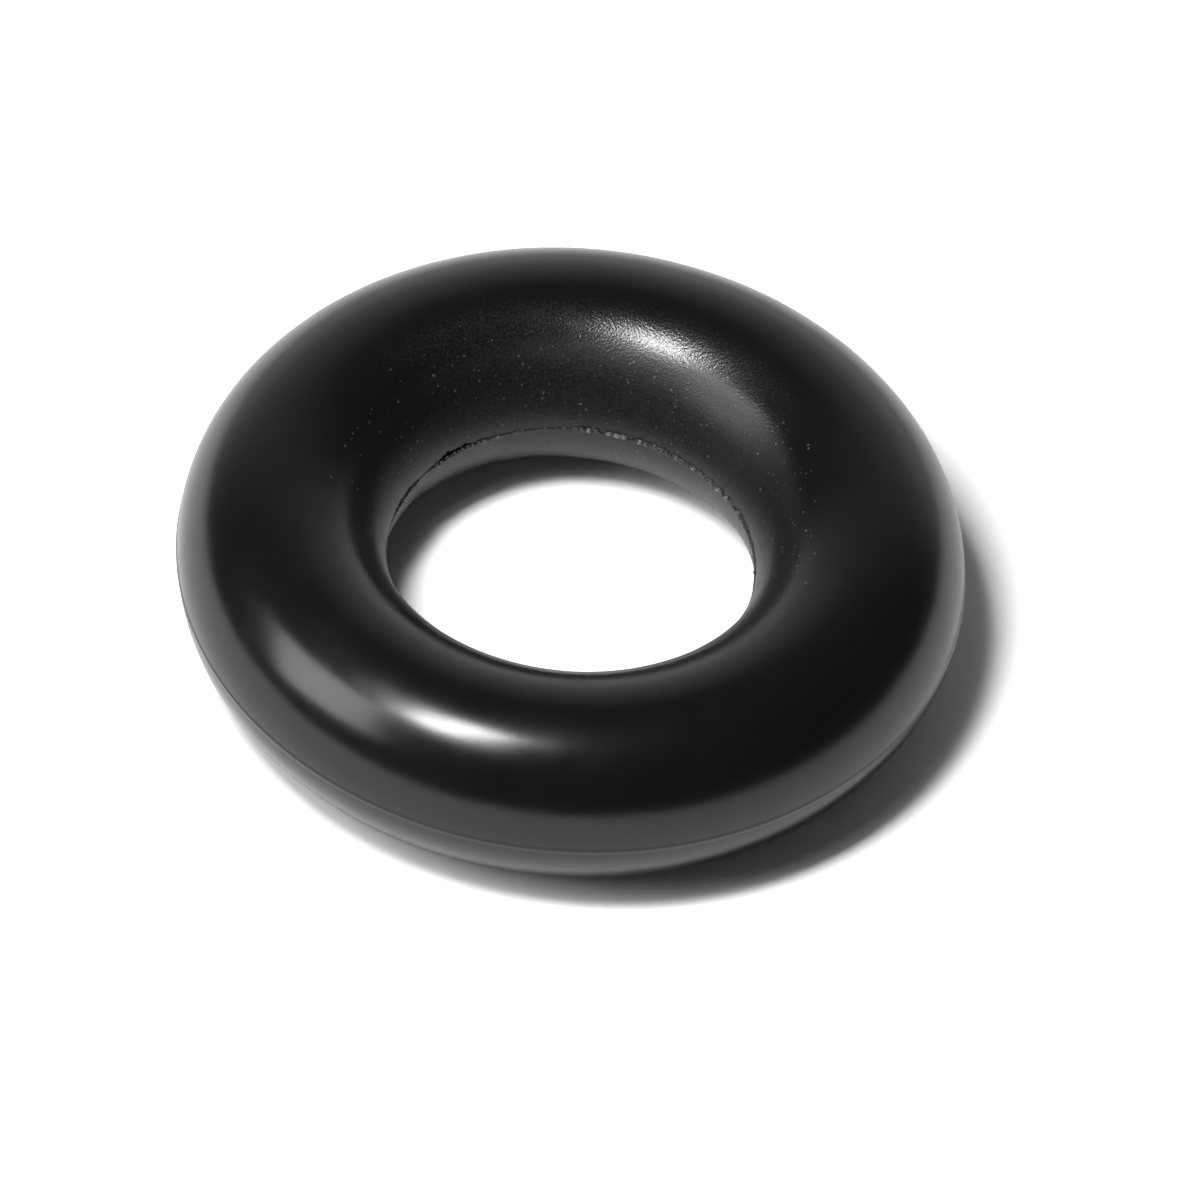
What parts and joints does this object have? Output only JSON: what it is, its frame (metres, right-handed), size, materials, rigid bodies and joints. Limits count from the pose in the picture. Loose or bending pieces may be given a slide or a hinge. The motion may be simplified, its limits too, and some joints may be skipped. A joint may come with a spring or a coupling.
{
  "type": "o-ring",
  "caption": "Plain rubber sealing ring with a round section, a trimmed mould line round the outside and a torn flash line in the bore.",
  "frame": {"origin": "centre of the ring, on the surface that it lies on", "axes": "+Z along the ring's axis, upwards. The ring is round, so X and Y point any way across it."},
  "size_m": [0.0116, 0.0116, 0.003],
  "materials": {
    "rubber": "black moulded rubber: smooth and half glossy outside, fine grained in the bore"
  },
  "bodies": {
    "root": {"ring": "rubber"}
  },
  "joints": []
}
